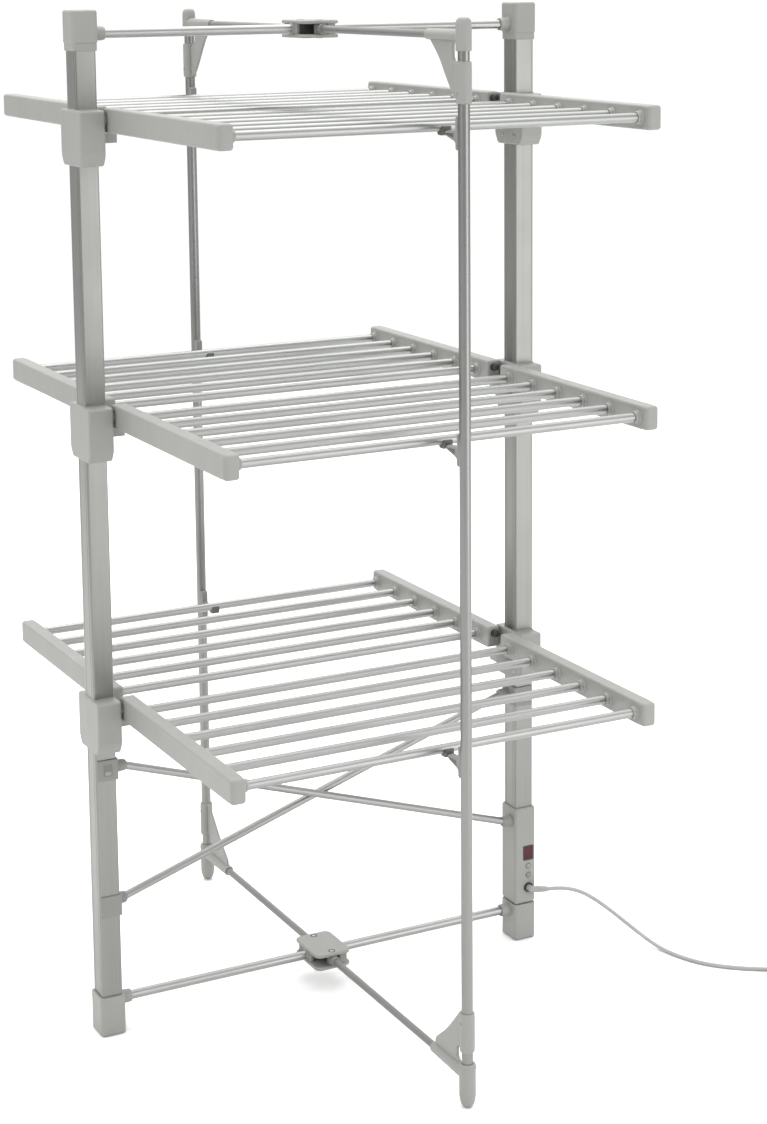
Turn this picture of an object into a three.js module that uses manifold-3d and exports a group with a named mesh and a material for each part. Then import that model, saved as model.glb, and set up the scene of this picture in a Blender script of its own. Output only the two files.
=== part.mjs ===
// Three-tier electric clothes airer: two posts with a control box, six heated wings of round
// rods that fold down, and a front and a rear gate that swing flat against the posts.
// Millimetres, +Z up, origin on the floor at the centre; X runs along the rods, -Y is the front.
import * as THREE from "three";
import { mergeVertices } from "three/addons/utils/BufferGeometryUtils.js";
import Module from "manifold-3d";

const wasm = await Module();
wasm.setup();

// ---- Driving dimensions ----
const HEIGHT = 1420;
const TIERS = { lower: 473, middle: 880, upper: 1276 };
const GAP = 0.3; // between pieces that touch
const RUN = 0.4; // radial clearance of a pin, rod or tube in its hole
const PAST = 5; // how far a cutting solid runs past the face it opens
const LAP = 1; // how far joined solids run into each other

const POST = { x: 334, width: 30, depth: 34, wall: 1.8, bottom: 9, top: HEIGHT - 10 };
const POST_CORNER = { outer: 2.5, inner: 1.5 };
const CAP = { width: 36, depth: 41, height: 53, corner: 5, bevel: 2 };
const FOOT = { width: 37, depth: 42, height: 57, corner: 5, bevel: 2 };
const BAR = { r: 6.5, low: 45, high: 1389, end: 315 };
const BOSS = { r: 9.5, inner: 301 };

const BRACKET = { width: 35, depth: 76, above: 14, below: 60, bevel: 2 };
const BRACKET_CORNER = { top: 3, across: 8, up: 12.8 };
const HINGE = { y: 28, r: 4, inner: 301 };
const LEDGE = { inner: 290, halfDepth: 10.5, top: -17.5, height: 13.5 };

const RAIL = { inner: 291.5, width: 21, height: 32, start: 18, end: 399, corner: 6, bevel: 1 };
const ROD = { r: 6.25, count: 6, first: 47, last: 379, end: 302 };
const SPINE = { half: 3, slack: 2.5, beyond: 5 };
const CLIP = { half: 6, reach: 10, above: 5, below: 13 };

const HUB = { halfX: 28, halfY: 39, corner: 10, bevel: 1.5, plateIn: 7, plateOut: 12 };
const HUB_BLOCK = { halfX: 26, halfY: 12 };
const HUB_STOP = { x: [9, 22], y: [20, 37] };
const PIVOT = { y: 30, r: 3, eyeR: 7.5, eyeHalf: 6.5 };
const POLE = { y: 430, r: 7.5, bottom: 12, top: 1403 };
const ARM = { r: 5, end: 400 };
// The corner brackets of a gate. Their outlines are drawn from the pole's axis, inwards, and
// from the arm's height.
const CORNER = { inner: 86, fittingR: 7.5, sheet: 6, sleeveR: 10, seat: 5 };
const UPPER_CAP = [
  [0, -19],
  [10, -19],
  [10, 18],
  [7.5, 22],
  [0, 22],
];
const UPPER_SLEEVE = [-83, -31];
const UPPER_GUSSET = [
  [84, 3],
  [84, -5],
  [22, -77],
  [6, -83],
  [6, -38],
  [18, -26],
  [18, -9],
  [6, -5],
  [6, 3],
];
const LOWER_BOOT = [
  [0, -45],
  [4, -45],
  [7.8, -42],
  [11, -34],
  [11, 16],
  [0, 16],
];
const LOWER_SLEEVE = [32, 86];
const LOWER_GUSSET = [
  [84, -3],
  [6, -3],
  [6, 8],
  [18, 12],
  [18, 27],
  [6, 38],
  [6, 86],
  [14, 84],
  [84, 16],
];
const CATCH = { half: 5, tip: 390, strip: 6, above: 15, below: 27, ease: 2 };
const TONGUE = { top: -2, tipTop: -4, tipBottom: -14 };

const BRACE = { r: 5.5, high: 386, low: 189, apart: 6, sleeve: 30, wall: 2.5, bossR: 8.5 };
const BRACE_BOSS = 14;
const BOX = { bottom: 59, top: 210, width: 36, depth: 42, corner: 4, bevel: 1.5 };
const PANEL_X = 339;
const DISPLAY = { z: 138, width: 17, height: 22, thick: 1 };
const BUTTON = { zs: { upper_button: 117, lower_button: 103 }, r: 3.5, proud: 1.3, travel: 1 };
const BUTTON_WELL = 3;

const CORD = { r: 3, sides: 8, steps: 32 };
const LIFT = 0.1; // of the coil and the plug above the floor
const GLAND = { x: PANEL_X, z: 83, ringR: 7.5, ringThick: 2.5, elbow: 10, baseR: 5.5, tipR: 4.2 };
const RELIEF = { from: [339, -31, 83], to: [361.5, -40, 82.5] };
// The free cord's route, from the strain relief's tip to where the coil's outer turn begins.
const ROUTE = [
  [361.8, -40.1, 82.5],
  [374, -44.3, 82.6],
  [388, -48.8, 81.2],
  [403, -53.6, 77.2],
  [418, -59, 69.9],
  [432, -65.6, 60.2],
  [445, -73.8, 49.4],
  [457, -84, 38.2],
  [467.5, -96, 27.6],
  [476.5, -110, 18.4],
  [483.5, -125.5, 11.1],
  [488.8, -142, 6.4],
  [493, -159, 3.9],
  [497.2, -176, 3.1],
  [502.4, -193, 3.1],
  [509.4, -210, 3.1],
  [518.6, -226.4, 3.1],
  [530.4, -241.6, 3.1],
  [544.4, -255.6, 3.1],
  [560, -268.6, 3.1],
  [577, -281, 3.1],
  [595, -292.4, 3.1],
  [614, -302, 3.1],
];
const COIL = { x: 621, y: -349, inner: 22.8, outer: 44.2, layers: 2 };
// A plug with two round pins, lying on its flat side, its relief pointing at the coil.
const PLUG = { x: 552, y: -394, length: 36, width: 34, thick: 18, shoulder: 22, neck: 12 };
const PLUG_PIN = { r: 2.4, length: 19, apart: 19 };
const PLUG_RELIEF = { length: 14, r: 5, tipR: 4 };

// ---- Finishes ----
const finish = (color, roughness, metalness) => () =>
  new THREE.MeshStandardMaterial({ color, roughness, metalness });
const GREY_PLASTIC = finish(0xc3c3be, 0.5, 0);
const ANODISED = finish(0xa9aaa7, 0.38, 0.9);
const BRIGHT_TUBE = finish(0xd6dada, 0.28, 0.95);
const GREY_PAINT = finish(0xa2a29e, 0.45, 0.2);
const DISPLAY_RED = finish(0x5a3c3e, 0.15, 0);
const CORD_GREY = finish(0xbebebb, 0.5, 0);

// ---- Solids ----
function solid(geometry) {
  const bare = geometry.index ? geometry.toNonIndexed() : geometry.clone();
  bare.deleteAttribute("normal");
  bare.deleteAttribute("uv");
  const merged = mergeVertices(bare, 1e-4);
  return new wasm.Manifold(
    new wasm.Mesh({
      numProp: 3,
      vertProperties: merged.attributes.position.array,
      triVerts: new Uint32Array(merged.index.array),
    }),
  );
}

function geometryOf(made) {
  const mesh = made.getMesh();
  const geometry = new THREE.BufferGeometry();
  geometry.setAttribute("position", new THREE.BufferAttribute(mesh.vertProperties, 3));
  geometry.setIndex(new THREE.BufferAttribute(mesh.triVerts, 1));
  const flat = geometry.toNonIndexed();
  flat.computeVertexNormals();
  return flat;
}

const join = (...pieces) => pieces.reduce((a, b) => a.add(b));

function block([x0, x1], [y0, y1], [z0, z1]) {
  const box = new THREE.BoxGeometry(x1 - x0, y1 - y0, z1 - z0);
  return solid(box.translate((x0 + x1) / 2, (y0 + y1) / 2, (z0 + z1) / 2));
}

// A round bar between two points, tapered if a second radius is given.
function round(from, to, r, sides = 12, rTo = r) {
  const a = new THREE.Vector3(...from);
  const b = new THREE.Vector3(...to);
  const axis = b.clone().sub(a);
  const bar = new THREE.CylinderGeometry(rTo, r, axis.length(), sides);
  const turn = new THREE.Quaternion();
  turn.setFromUnitVectors(new THREE.Vector3(0, 1, 0), axis.clone().normalize());
  bar.applyQuaternion(turn);
  const mid = a.add(b).multiplyScalar(0.5);
  return solid(bar.translate(mid.x, mid.y, mid.z));
}

// A rectangle with its four corners rounded, as a Shape centred on (0, 0).
function roundedRect(width, height, r) {
  const [w, h] = [width / 2, height / 2];
  const shape = new THREE.Shape();
  shape.moveTo(w, -h + r);
  shape.absarc(w - r, h - r, r, 0, Math.PI / 2, false);
  shape.absarc(-w + r, h - r, r, Math.PI / 2, Math.PI, false);
  shape.absarc(-w + r, -h + r, r, Math.PI, 1.5 * Math.PI, false);
  shape.absarc(w - r, -h + r, r, 1.5 * Math.PI, 2 * Math.PI, false);
  return shape;
}

function extrude(shape, depth, bevel = 0, curveSegments = 1) {
  const geometry = new THREE.ExtrudeGeometry(shape, {
    depth: depth - 2 * bevel,
    bevelEnabled: bevel > 0,
    bevelThickness: bevel,
    bevelSize: bevel,
    bevelOffset: -bevel,
    bevelSegments: 1,
    curveSegments,
    steps: 1,
  });
  return geometry.translate(0, 0, bevel);
}

// A shape drawn in plan (x, y) and raised from z0 to z1.
const raised = (shape, z0, z1, bevel = 0) =>
  solid(extrude(shape, z1 - z0, bevel).translate(0, 0, z0));

// A shape drawn in side view (y, z) and extruded along X, centred on x.
const SIDE_VIEW = new THREE.Matrix4().makeBasis(
  new THREE.Vector3(0, 1, 0),
  new THREE.Vector3(0, 0, 1),
  new THREE.Vector3(1, 0, 0),
);
function sideways(shape, x, width, bevel = 0) {
  const geometry = extrude(shape, width, bevel).applyMatrix4(SIDE_VIEW);
  return solid(geometry.translate(x - width / 2, 0, 0));
}

const polygon = (points) => new THREE.Shape(points.map((p) => new THREE.Vector2(...p)));

// A closed solid of revolution about +Z from [radius, height] pairs.
function turned(profile, sides = 16) {
  const points = profile.map((p) => new THREE.Vector2(...p));
  return solid(new THREE.LatheGeometry(points, sides).rotateX(Math.PI / 2));
}

const airer = new THREE.Group();

function place(name, made, material, parent = airer) {
  const mesh = new THREE.Mesh(geometryOf(made), material());
  mesh.name = name;
  parent.add(mesh);
  return mesh;
}

// ---- Posts with their caps, feet and wing brackets ----
// Each is built for the post on the +X side, and mirrored for the other by its sign.
const acrossX = (side, x0, x1) => (side > 0 ? [x0, x1] : [-x1, -x0]);
const postHole = (side, z0, z1) =>
  block(
    acrossX(side, POST.x - POST.width / 2 - GAP, POST.x + POST.width / 2 + GAP),
    [-POST.depth / 2 - GAP, POST.depth / 2 + GAP],
    [z0, z1],
  );

function makePost(side) {
  const outline = roundedRect(POST.width, POST.depth, POST_CORNER.outer);
  const inside = roundedRect(
    POST.width - 2 * POST.wall,
    POST.depth - 2 * POST.wall,
    POST_CORNER.inner,
  );
  outline.holes.push(new THREE.Path(inside.getPoints(2).reverse()));
  return raised(outline, POST.bottom, POST.top).translate([side * POST.x, 0, 0]);
}

// The round boss on the inner face of a cap or foot, with the blind socket of the cross bar.
const barBoss = (side, z) =>
  round([side * (POST.x - POST.width / 2), 0, z], [side * BOSS.inner, 0, z], BOSS.r, 14);
const barSocket = (side, z) =>
  round([side * (BAR.end + 1), 0, z], [side * (BOSS.inner - PAST), 0, z], BAR.r + RUN);

function makeCap(side) {
  const plan = roundedRect(CAP.width, CAP.depth, CAP.corner);
  const shell = raised(plan, HEIGHT - CAP.height, HEIGHT, CAP.bevel);
  return join(shell.translate([side * POST.x, 0, 0]), barBoss(side, BAR.high))
    .subtract(postHole(side, HEIGHT - CAP.height - PAST, POST.top + GAP))
    .subtract(barSocket(side, BAR.high));
}

function makeFoot(side) {
  const plan = roundedRect(FOOT.width, FOOT.depth, FOOT.corner);
  const shell = raised(plan, 0, FOOT.height, FOOT.bevel);
  return join(shell.translate([side * POST.x, 0, 0]), barBoss(side, BAR.low))
    .subtract(postHole(side, POST.bottom - GAP, FOOT.height + PAST))
    .subtract(barSocket(side, BAR.low));
}

// A sleeve round the post, with the two hinge pins and the ledge under the rails' ends.
function makeBracket(side, tier) {
  const half = BRACKET.depth / 2;
  const { top, across, up } = BRACKET_CORNER;
  const outline = polygon([
    [-half + across, -BRACKET.below],
    [half - across, -BRACKET.below],
    [half, -BRACKET.below + up],
    [half, BRACKET.above - top],
    [half - top, BRACKET.above],
    [-half + top, BRACKET.above],
    [-half, BRACKET.above - top],
    [-half, -BRACKET.below + up],
  ]);
  const root = POST.x - BRACKET.width / 2 + LAP;
  const pins = [-HINGE.y, HINGE.y].map((y) =>
    round([side * root, y, 0], [side * HINGE.inner, y, 0], HINGE.r),
  );
  const ledge = block(
    acrossX(side, LEDGE.inner, root),
    [-LEDGE.halfDepth, LEDGE.halfDepth],
    [LEDGE.top - LEDGE.height, LEDGE.top],
  );
  const sleeve = sideways(outline, side * POST.x, BRACKET.width, BRACKET.bevel).subtract(
    postHole(side, -BRACKET.below - PAST, BRACKET.above + PAST),
  );
  return join(sleeve, ledge, ...pins).translate([0, 0, tier]);
}

const SIDES = { left: -1, right: 1 };
for (const [name, side] of Object.entries(SIDES)) {
  place(`${name}_post`, makePost(side), ANODISED);
  place(`${name}_post_cap`, makeCap(side), GREY_PLASTIC);
  place(`${name}_foot`, makeFoot(side), GREY_PLASTIC);
  for (const [tier, z] of Object.entries(TIERS))
    place(`${tier}_${name}_bracket`, makeBracket(side, z), GREY_PLASTIC);
}

// ---- Hubs and cross bars ----
// Two plates on a middle block that grips the bar; each gate's eyes turn on the two pins.
function makeHub(z) {
  const between = [-HUB.plateIn - LAP, HUB.plateIn + LAP];
  const plate = (from, to) =>
    raised(roundedRect(2 * HUB.halfX, 2 * HUB.halfY, HUB.corner), from, to, HUB.bevel);
  const pin = (y) => round([0, y, between[0]], [0, y, between[1]], PIVOT.r);
  const { x, y } = HUB_STOP;
  return join(
    plate(-HUB.plateOut, -HUB.plateIn),
    plate(HUB.plateIn, HUB.plateOut),
    block([-HUB_BLOCK.halfX, HUB_BLOCK.halfX], [-HUB_BLOCK.halfY, HUB_BLOCK.halfY], between),
    pin(-PIVOT.y),
    pin(PIVOT.y),
    block(x, [-y[1], -y[0]], between),
    block([-x[1], -x[0]], y, between),
  )
    .subtract(round([-HUB.halfX - PAST, 0, 0], [HUB.halfX + PAST, 0, 0], BAR.r + GAP))
    .translate([0, 0, z]);
}

for (const [name, z] of Object.entries({ top: BAR.high, bottom: BAR.low })) {
  place(`${name}_cross_bar`, round([-BAR.end, 0, z], [BAR.end, 0, z], BAR.r), BRIGHT_TUBE);
  place(`${name}_hub`, makeHub(z), GREY_PLASTIC);
}

// ---- Diagonal braces, each with the sleeves or boss that hold its ends ----
function braceSleeve(side, z) {
  const [width, depth] = [POST.width + 2 * BRACE.wall, POST.depth + 2 * BRACE.wall];
  const plan = roundedRect(width, depth, POST_CORNER.outer);
  return raised(plan, z - BRACE.sleeve / 2, z + BRACE.sleeve / 2, LAP)
    .translate([side * POST.x, 0, 0])
    .subtract(postHole(side, z - BRACE.sleeve, z + BRACE.sleeve));
}

// From a sleeve on the left post to a face on the right, at x = rightFace.
function makeBrace(leftZ, rightZ, y, rightFace) {
  const leftFace = -(POST.x - POST.width / 2 - BRACE.wall + LAP);
  const [left, right] = [leftFace + BRACE_BOSS, rightFace - BRACE_BOSS];
  return join(
    braceSleeve(-1, leftZ),
    round([left - PAST, y, leftZ], [right + PAST, y, rightZ], BRACE.r, 8),
    round([leftFace, y, leftZ], [left, y, leftZ], BRACE.bossR),
    round([rightFace, y, rightZ], [right, y, rightZ], BRACE.bossR),
  );
}

const postFace = POST.x - POST.width / 2 - BRACE.wall + LAP;
const boxFace = POST.x - BOX.width / 2 - GAP;
const falling = makeBrace(BRACE.high, BRACE.low, -BRACE.apart, boxFace);
const rising = makeBrace(BRACE.low, BRACE.high, BRACE.apart, postFace);
place("falling_brace", falling, GREY_PAINT);
place("rising_brace", rising.add(braceSleeve(1, BRACE.high)), GREY_PAINT);

// ---- Wings: two rails and the heated rods, folding down about the bracket pins ----
// A wing is drawn pointing to -Y. The rear wings are the same, turned half round.
function railOutline() {
  const half = RAIL.height / 2;
  const [start, end, r] = [-RAIL.start, -RAIL.end, RAIL.corner];
  const shape = new THREE.Shape();
  shape.moveTo(start, half);
  shape.absarc(end + r, half - r, r, Math.PI / 2, Math.PI, false);
  shape.absarc(end + r, -half + r, r, Math.PI, 1.5 * Math.PI, false);
  shape.absarc(start - r, -half + r, r, 1.5 * Math.PI, 2 * Math.PI, false);
  return shape;
}

const rodYs = Array.from(
  { length: ROD.count },
  (_, i) => -(ROD.first + ((ROD.last - ROD.first) * i) / (ROD.count - 1)),
);

function makeRail(side, wired) {
  const centre = side * (RAIL.inner + RAIL.width / 2);
  const outer = RAIL.inner + RAIL.width;
  const [open, bottom] = [side * (outer + PAST), side * (HINGE.inner - LAP)];
  let rail = sideways(railOutline(), centre, RAIL.width, RAIL.bevel).subtract(
    round([open, -HINGE.y, 0], [bottom, -HINGE.y, 0], HINGE.r + RUN),
  );
  for (const y of rodYs) {
    const [mouth, end] = [side * (RAIL.inner - PAST), side * (ROD.end + LAP)];
    rail = rail.subtract(round([mouth, y, 0], [end, y, 0], ROD.r + RUN, 8));
  }
  if (!wired) return rail;
  const room = SPINE.half + SPINE.slack;
  const beyond = SPINE.beyond + SPINE.slack;
  const channel = block(
    acrossX(side, ROD.end - room, ROD.end + room),
    [-ROD.last - beyond, -ROD.first + beyond],
    [-room, room],
  );
  return rail.subtract(channel);
}

// Six tubes on the wiring strip that feeds them inside one rail, and the clip that sits on
// the catch of the pole.
function makeRods(wiredSide) {
  const strip = block(
    acrossX(wiredSide, ROD.end - SPINE.half, ROD.end + SPINE.half),
    [-ROD.last - SPINE.beyond, -ROD.first + SPINE.beyond],
    [-SPINE.half, SPINE.half],
  );
  const tubes = rodYs.map((y) => round([-ROD.end, y, 0], [ROD.end, y, 0], ROD.r, 8));
  const { half, reach, above, below } = CLIP;
  const y = -ROD.last;
  const clip = polygon([
    [y - reach, -below + 3],
    [y - reach + 4, -below],
    [y + reach - 8, -below + 4],
    [y + reach - 3, above],
    [y - reach, above],
  ]);
  return join(strip, ...tubes, sideways(clip, 0, 2 * half));
}

function makeWing(tier, z, end) {
  const turn = end === "front" ? 1 : -1;
  const wing = new THREE.Group();
  wing.position.z = z;
  wing.rotation.z = turn > 0 ? 0 : Math.PI;
  for (const [name, side] of Object.entries(SIDES))
    place(`${tier}_${end}_${name}_rail`, makeRail(side * turn, side > 0), GREY_PLASTIC, wing);
  place(`${tier}_${end}_rods`, makeRods(turn), BRIGHT_TUBE, wing);
  airer.add(wing);
}

// ---- Gates: a pole on two arms that swing about the hub pins ----
// Drawn pointing to -Y, like the wings.
function makeArm(z) {
  const eyeEnds = [z - PIVOT.eyeHalf, z + PIVOT.eyeHalf];
  const eye = round([0, -PIVOT.y, eyeEnds[0]], [0, -PIVOT.y, eyeEnds[1]], PIVOT.eyeR);
  const tube = round([0, -PIVOT.y - PIVOT.r, z], [0, -ARM.end, z], ARM.r);
  const [from, to] = [eyeEnds[0] - PAST, eyeEnds[1] + PAST];
  const hole = round([0, -PIVOT.y, from], [0, -PIVOT.y, to], PIVOT.r + RUN);
  return join(eye, tube).subtract(hole);
}

// A cap or boot on the pole's end, a sleeve further along it, and the gusset that joins both
// to the arm's fitting. The pole's hole ends at the given heights.
function makeCorner(z, end, sleeve, gusset, [holeFrom, holeTo]) {
  const across = (y) => y - POLE.y;
  const fitting = [across(CORNER.inner), across(CORNER.seat)];
  const plate = gusset.map(([y, height]) => [across(y), height]);
  const onPole = join(
    turned(end).translate([0, -POLE.y, 0]),
    round([0, -POLE.y, sleeve[0]], [0, -POLE.y, sleeve[1]], CORNER.sleeveR, 16),
  );
  return join(
    onPole,
    round([0, fitting[0], 0], [0, fitting[1], 0], CORNER.fittingR),
    sideways(polygon(plate), 0, CORNER.sheet),
  )
    .subtract(
      round([0, -POLE.y, holeFrom - z], [0, -POLE.y, holeTo - z], POLE.r + RUN, 14),
    )
    .subtract(round([0, fitting[0] + PAST, 0], [0, -ARM.end - LAP, 0], ARM.r + RUN))
    .translate([0, 0, z]);
}

// The strip along the pole's inner face with the tongue that a wing's clip rests against.
function makeCatch(tier) {
  const face = -(POLE.y - POLE.r - GAP);
  const { tip, strip, above, below, ease, half } = CATCH;
  const front = face + strip;
  const profile = polygon([
    [face, above],
    [front - ease, above],
    [front, above - 3 * ease],
    [front, TONGUE.top],
    [-tip, TONGUE.tipTop],
    [-tip, TONGUE.tipBottom],
    [front, -below + ease],
    [front - ease, -below],
    [face, -below],
  ]);
  return sideways(profile, 0, 2 * half).translate([0, 0, tier]);
}

function makeGate(end) {
  const gate = new THREE.Group();
  gate.rotation.z = end === "front" ? 0 : Math.PI;
  const pole = round([0, -POLE.y, POLE.bottom], [0, -POLE.y, POLE.top], POLE.r, 14);
  const { high, low } = BAR;
  const upperHole = [high + UPPER_SLEEVE[0] - PAST, POLE.top + LAP];
  const lowerHole = [POLE.bottom - LAP, low + LOWER_SLEEVE[1] + PAST];
  const upper = makeCorner(high, UPPER_CAP, UPPER_SLEEVE, UPPER_GUSSET, upperHole);
  const lower = makeCorner(low, LOWER_BOOT, LOWER_SLEEVE, LOWER_GUSSET, lowerHole);
  place(`${end}_pole`, pole, ANODISED, gate);
  place(`${end}_upper_arm`, makeArm(BAR.high), GREY_PAINT, gate);
  place(`${end}_lower_arm`, makeArm(BAR.low), GREY_PAINT, gate);
  place(`${end}_upper_corner`, upper, GREY_PLASTIC, gate);
  place(`${end}_lower_corner`, lower, GREY_PLASTIC, gate);
  for (const [tier, z] of Object.entries(TIERS))
    place(`${tier}_${end}_catch`, makeCatch(z), GREY_PLASTIC, gate);
  airer.add(gate);
}

for (const end of ["front", "rear"]) {
  for (const [tier, z] of Object.entries(TIERS)) makeWing(tier, z, end);
  makeGate(end);
}

// ---- Control box round the foot of the right post ----
const boxFront = -BOX.depth / 2;
const wellFloor = boxFront + BUTTON_WELL;

function makeControlBox() {
  const { z, width, height, thick } = DISPLAY;
  const recess = block(
    [PANEL_X - width / 2 - GAP, PANEL_X + width / 2 + GAP],
    [boxFront - PAST, boxFront + thick + GAP],
    [z - height / 2 - GAP, z + height / 2 + GAP],
  );
  const well = (at) =>
    round([PANEL_X, boxFront - PAST, at], [PANEL_X, wellFloor, at], BUTTON.r + RUN);
  return raised(roundedRect(BOX.width, BOX.depth, BOX.corner), BOX.bottom, BOX.top, BOX.bevel)
    .translate([POST.x, 0, 0])
    .subtract(postHole(1, BOX.bottom - PAST, BOX.top + PAST))
    .subtract(join(recess, ...Object.values(BUTTON.zs).map(well)));
}
place("control_box", makeControlBox(), GREY_PLASTIC);

const window = block(
  [PANEL_X - DISPLAY.width / 2, PANEL_X + DISPLAY.width / 2],
  [boxFront, boxFront + DISPLAY.thick],
  [DISPLAY.z - DISPLAY.height / 2, DISPLAY.z + DISPLAY.height / 2],
);
place("display_window", window, DISPLAY_RED);

for (const [name, z] of Object.entries(BUTTON.zs)) {
  const back = wellFloor - BUTTON.travel - GAP;
  const cap = round([PANEL_X, boxFront - BUTTON.proud, z], [PANEL_X, back, z], BUTTON.r, 16);
  place(name, cap, GREY_PLASTIC);
}

// ---- Mains cord: gland with its elbow, the free run, the coil and the plug ----
function makeGland() {
  const { x, z, ringR, ringThick, elbow, baseR, tipR } = GLAND;
  const front = boxFront - GAP;
  const ring = round([x, front, z], [x, front - ringThick, z], ringR, 20);
  const stem = round([x, front - LAP, z], [x, boxFront - elbow, z], baseR);
  const knee = solid(new THREE.SphereGeometry(baseR, 12, 8).translate(...RELIEF.from));
  return join(ring, stem, knee, round(RELIEF.from, RELIEF.to, baseR, 12, tipR));
}
place("cord_gland", makeGland(), CORD_GREY);

function makeCord() {
  const path = new THREE.CatmullRomCurve3(ROUTE.map((p) => new THREE.Vector3(...p)));
  const section = new THREE.Shape();
  for (let i = 0; i < CORD.sides; i++) {
    const a = ((i + 0.5) / CORD.sides) * 2 * Math.PI;
    const point = [CORD.r * Math.cos(a), CORD.r * Math.sin(a)];
    if (i === 0) section.moveTo(...point);
    else section.lineTo(...point);
  }
  return solid(new THREE.ExtrudeGeometry(section, { extrudePath: path, steps: CORD.steps }));
}
place("mains_cord", makeCord(), CORD_GREY);

function makeCoil() {
  const top = COIL.layers * 2 * CORD.r + GAP;
  const { inner, outer } = COIL;
  const section = [
    [inner, LIFT],
    [outer, LIFT],
    [outer, top],
    [inner, top],
    [inner, LIFT],
  ];
  return turned(section, 28).translate([COIL.x, COIL.y, 0]);
}
place("cord_coil", makeCoil(), CORD_GREY);

function makePlug() {
  const { x, y, length, width, thick, shoulder, neck } = PLUG;
  const z = thick / 2;
  const plan = polygon([
    [0, -width / 2],
    [shoulder, -width / 2],
    [length, -neck / 2],
    [length, neck / 2],
    [shoulder, width / 2],
    [0, width / 2],
  ]);
  const reliefEnd = length + PLUG_RELIEF.length;
  const relief = round(
    [length - LAP, 0, z],
    [reliefEnd, 0, z],
    PLUG_RELIEF.r,
    10,
    PLUG_RELIEF.tipR,
  );
  const pins = [-PLUG_PIN.apart / 2, PLUG_PIN.apart / 2].map((at) =>
    round([LAP, at, z], [-PLUG_PIN.length, at, z], PLUG_PIN.r, 8),
  );
  return join(raised(plan, LIFT, thick, 2 * LAP), relief, ...pins).translate([x, y, 0]);
}
place("mains_plug", makePlug(), CORD_GREY);

export default airer;
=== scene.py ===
"""The looks of a three-tier heated clothes airer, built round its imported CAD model.

Shapes are given in millimetres in the CAD frame: +Z up, X along the rods, -Y towards the front.
"""

import math

import bmesh
import bpy
from mathutils import Matrix, Vector


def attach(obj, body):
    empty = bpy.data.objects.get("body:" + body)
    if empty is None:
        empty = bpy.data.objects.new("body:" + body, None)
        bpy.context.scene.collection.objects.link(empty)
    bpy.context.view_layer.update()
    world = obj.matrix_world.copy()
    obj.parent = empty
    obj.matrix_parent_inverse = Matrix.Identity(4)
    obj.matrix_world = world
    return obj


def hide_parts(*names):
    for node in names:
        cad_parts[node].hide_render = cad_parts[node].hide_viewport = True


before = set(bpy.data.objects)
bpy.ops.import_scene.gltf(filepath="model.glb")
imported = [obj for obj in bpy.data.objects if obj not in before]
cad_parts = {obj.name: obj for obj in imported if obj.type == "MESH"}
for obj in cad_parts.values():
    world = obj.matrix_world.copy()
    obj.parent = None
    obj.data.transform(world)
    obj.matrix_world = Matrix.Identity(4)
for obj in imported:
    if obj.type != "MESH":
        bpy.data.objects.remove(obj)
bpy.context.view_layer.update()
MM = 0.001

# ---- Camera, at the photograph's viewing angle ----
# The focal length and the optical axis's row are in pixels of a picture with this many rows.
PICTURE_ROWS = 1124
SENSOR_WIDTH, FAR_CLIP = 36, 60
CAMERA = {
    "place": (-1.3714, -2.8541, 1.4721),
    "yaw": 0.4788,
    "pitch": 0.1559,
    "roll": -0.0093,
    "focal": 2279.4,
    "axis_row": 325.0,
}


def make_camera():
    """A pinhole camera aimed by yaw, pitch and roll, with its axis above the middle."""
    yaw, pitch, roll = CAMERA["yaw"], CAMERA["pitch"], CAMERA["roll"]
    ahead = Vector(
        (
            math.sin(yaw) * math.cos(pitch),
            math.cos(yaw) * math.cos(pitch),
            -math.sin(pitch),
        )
    )
    level = Vector((math.cos(yaw), -math.sin(yaw), 0))
    over = level.cross(ahead)
    right = level * math.cos(roll) + over * math.sin(roll)
    up = over * math.cos(roll) - level * math.sin(roll)
    data = bpy.data.cameras.new("camera")
    data.sensor_width = SENSOR_WIDTH
    data.lens = CAMERA["focal"] / PICTURE_ROWS * SENSOR_WIDTH
    data.shift_y = (CAMERA["axis_row"] - PICTURE_ROWS / 2) / PICTURE_ROWS
    data.clip_end = FAR_CLIP
    camera = bpy.data.objects.new("camera", data)
    camera.matrix_world = Matrix.Translation(CAMERA["place"]) @ (
        Matrix((right, up, -ahead)).transposed().to_4x4()
    )
    bpy.context.scene.collection.objects.link(camera)
    bpy.context.scene.camera = camera


make_camera()

# ---- Dimensions, in millimetres ----
HEIGHT = 1420
TIERS = {"lower": 473, "middle": 880, "upper": 1276}
SIDES = {"left": -1, "right": 1}
POST_X, POST_W, POST_D, POST_LOW, POST_HIGH = 334, 30, 34, 9, 1410
BRACKET_HALF, BRACKET_SCREW = 17.5, -47
BAR_R, BAR_LOW, BAR_HIGH, BAR_END, BOSS_END = 6.5, 45, 1389, 315, 301
HINGE_Y, RAIL_IN, RAIL_W, RAIL_H = 28, 291.5, 21, 32
RAIL_START, RAIL_END = 18, 399
ROD_R = 6.25
ROD_YS = [47 + (379 - 47) * i / 5 for i in range(6)]
PIVOT_Y, POLE_Y, POLE_R, POLE_LOW, POLE_HIGH = 30, 430, 7.5, 12, 1403
GUSSET_HALF, GUSSET_EDGE = 2, 0.8
BOX_LOW, BOX_HIGH, BOX_W, BOX_D = 59, 210, 36, 42
PANEL_X, PANEL_Y, DISPLAY_Z, GLAND_Z = 339, -21, 138, 83
BUTTONS = {"upper_button": 117, "lower_button": 103}
CLIP_WALL, CLIP_HALF = 2.5, 15
CLIP_FACE = POST_X - POST_W / 2 - CLIP_WALL
BOX_FACE = POST_X - BOX_W / 2 - 0.3
BRACE_LOW, BRACE_HIGH, BRACE_Y, BRACE_R, SOCKET_DEEP = 189, 386, 6, 5.5, 10
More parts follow.
